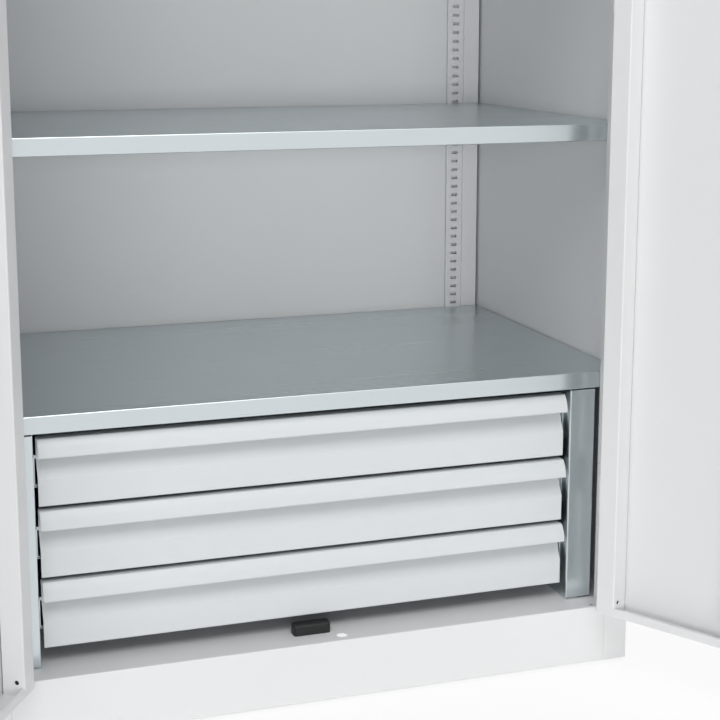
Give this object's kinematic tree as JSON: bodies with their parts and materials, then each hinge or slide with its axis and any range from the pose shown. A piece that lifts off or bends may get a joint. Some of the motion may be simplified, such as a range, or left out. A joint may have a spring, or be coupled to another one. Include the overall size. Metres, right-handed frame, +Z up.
{
  "type": "tool cupboard",
  "caption": "Tall steel tool cupboard with two swing doors standing open, loose shelves on slotted rails, and drawers with full-width rolled grips below.",
  "frame": {"origin": "floor level, centre of the cabinet's footprint, leaving out the doors", "axes": "+X to the right of a person facing the cupboard, +Y from its front to its back, +Z up"},
  "size_m": [1.3312, 1.0146, 1.935],
  "materials": {
    "body_paint": "light grey powder coat, satin",
    "galvanised": "galvanised sheet, slightly blue, faint rolling streaks",
    "zinc_steel": "zinc plated",
    "black_plastic": "moulded, fine grain",
    "nickel": "nickel plated"
  },
  "bodies": {
    "cabinet": {"side_panel_right": "body_paint", "side_panel_left": "body_paint", "back_panel": "body_paint", "top_panel": "body_paint", "base_deck": "body_paint", "rear_rail_right": "body_paint", "rear_rail_left": "body_paint", "front_rail_right": "body_paint", "front_rail_left": "body_paint", "drawer_cover_shelf": "galvanised", "shelf_1": "galvanised", "shelf_2": "galvanised", "shelf_3": "galvanised", "shelf_clips": "galvanised", "levelling_feet": "zinc_steel", "foot_brackets": "body_paint", "door_bumper": "black_plastic", "drawer_cheek_right": "galvanised", "drawer_cheek_left": "galvanised", "cheek_screws": "zinc_steel", "hinge_frame_leaves_right": "body_paint", "hinge_frame_leaves_left": "body_paint", "hinge_pins_right": "zinc_steel", "hinge_pins_left": "zinc_steel", "slide_cabinet_1": "galvanised", "slide_cabinet_2": "galvanised", "slide_cabinet_3": "galvanised"},
    "drawer_1": {"drawer_front_1": "body_paint", "drawer_tray_1": "galvanised", "front_screws_1": "zinc_steel", "slide_drawer_1": "galvanised"},
    "drawer_slide_1": {"slide_middle_1": "galvanised"},
    "drawer_2": {"drawer_front_2": "body_paint", "drawer_tray_2": "galvanised", "front_screws_2": "zinc_steel", "slide_drawer_2": "galvanised"},
    "drawer_slide_2": {"slide_middle_2": "galvanised"},
    "drawer_3": {"drawer_front_3": "body_paint", "drawer_tray_3": "galvanised", "front_screws_3": "zinc_steel", "slide_drawer_3": "galvanised"},
    "drawer_slide_3": {"slide_middle_3": "galvanised"},
    "door_right": {"door_skin_right": "body_paint", "door_stiffener_right": "body_paint", "hinge_door_leaves_right": "body_paint", "lock_case": "zinc_steel", "rod_guides": "black_plastic", "handle_plate": "black_plastic"},
    "door_left": {"door_skin_left": "body_paint", "door_stiffener_left": "body_paint", "hinge_door_leaves_left": "body_paint", "strike_strip": "body_paint"},
    "handle": {"lock_handle": "black_plastic", "lock_spindle": "zinc_steel"},
    "rod_up": {"upper_rod": "zinc_steel"},
    "rod_down": {"lower_rod": "zinc_steel"},
    "key": {"key_cylinder": "nickel"}
  },
  "joints": [
    {"name": "door_right_hinge", "type": "hinge", "parent": "cabinet", "child": "door_right", "pos_m": [0.4385, -0.3035, 0.995], "axis": [0, 0, 1], "range_deg": [-120, 0]},
    {"name": "door_left_hinge", "type": "hinge", "parent": "cabinet", "child": "door_left", "pos_m": [-0.4385, -0.3035, 0.995], "axis": [0, 0, -1], "range_deg": [-120, 0]},
    {"name": "drawer_1_travel", "type": "slide", "parent": "cabinet", "child": "drawer_1", "axis": [0, -1, 0], "range_m": [0, 0.45]},
    {"name": "drawer_slide_1_travel", "type": "slide", "parent": "cabinet", "child": "drawer_slide_1", "axis": [0, -1, 0], "range_m": [0, 0.225]},
    {"name": "drawer_2_travel", "type": "slide", "parent": "cabinet", "child": "drawer_2", "axis": [0, -1, 0], "range_m": [0, 0.45]},
    {"name": "drawer_slide_2_travel", "type": "slide", "parent": "cabinet", "child": "drawer_slide_2", "axis": [0, -1, 0], "range_m": [0, 0.225]},
    {"name": "drawer_3_travel", "type": "slide", "parent": "cabinet", "child": "drawer_3", "axis": [0, -1, 0], "range_m": [0, 0.45]},
    {"name": "drawer_slide_3_travel", "type": "slide", "parent": "cabinet", "child": "drawer_slide_3", "axis": [0, -1, 0], "range_m": [0, 0.225]},
    {"name": "handle_turn", "type": "hinge", "parent": "door_right", "child": "handle", "pos_m": [0.64012, -0.65971, 1.09], "axis": [0.866, 0.5, 0], "range_deg": [-90, 0]},
    {"name": "key_turn", "type": "hinge", "parent": "door_right", "child": "key", "pos_m": [0.64012, -0.65971, 1.13], "axis": [0.866, 0.5, 0], "range_deg": [-90, 0]},
    {"name": "upper_rod_travel", "type": "slide", "parent": "door_right", "child": "rod_up", "axis": [0, 0, 1], "range_m": [0, 0.0181]},
    {"name": "lower_rod_travel", "type": "slide", "parent": "door_right", "child": "rod_down", "axis": [0, 0, -1], "range_m": [0, 0.0181]}
  ],
  "couplings": [
    {"joint": "drawer_slide_1_travel", "follows": "drawer_1_travel", "ratio": 0.5},
    {"joint": "drawer_slide_2_travel", "follows": "drawer_2_travel", "ratio": 0.5},
    {"joint": "drawer_slide_3_travel", "follows": "drawer_3_travel", "ratio": 0.5},
    {"joint": "upper_rod_travel", "follows": "handle_turn", "m_per_rad": -0.0115},
    {"joint": "lower_rod_travel", "follows": "handle_turn", "m_per_rad": -0.0115}
  ]
}
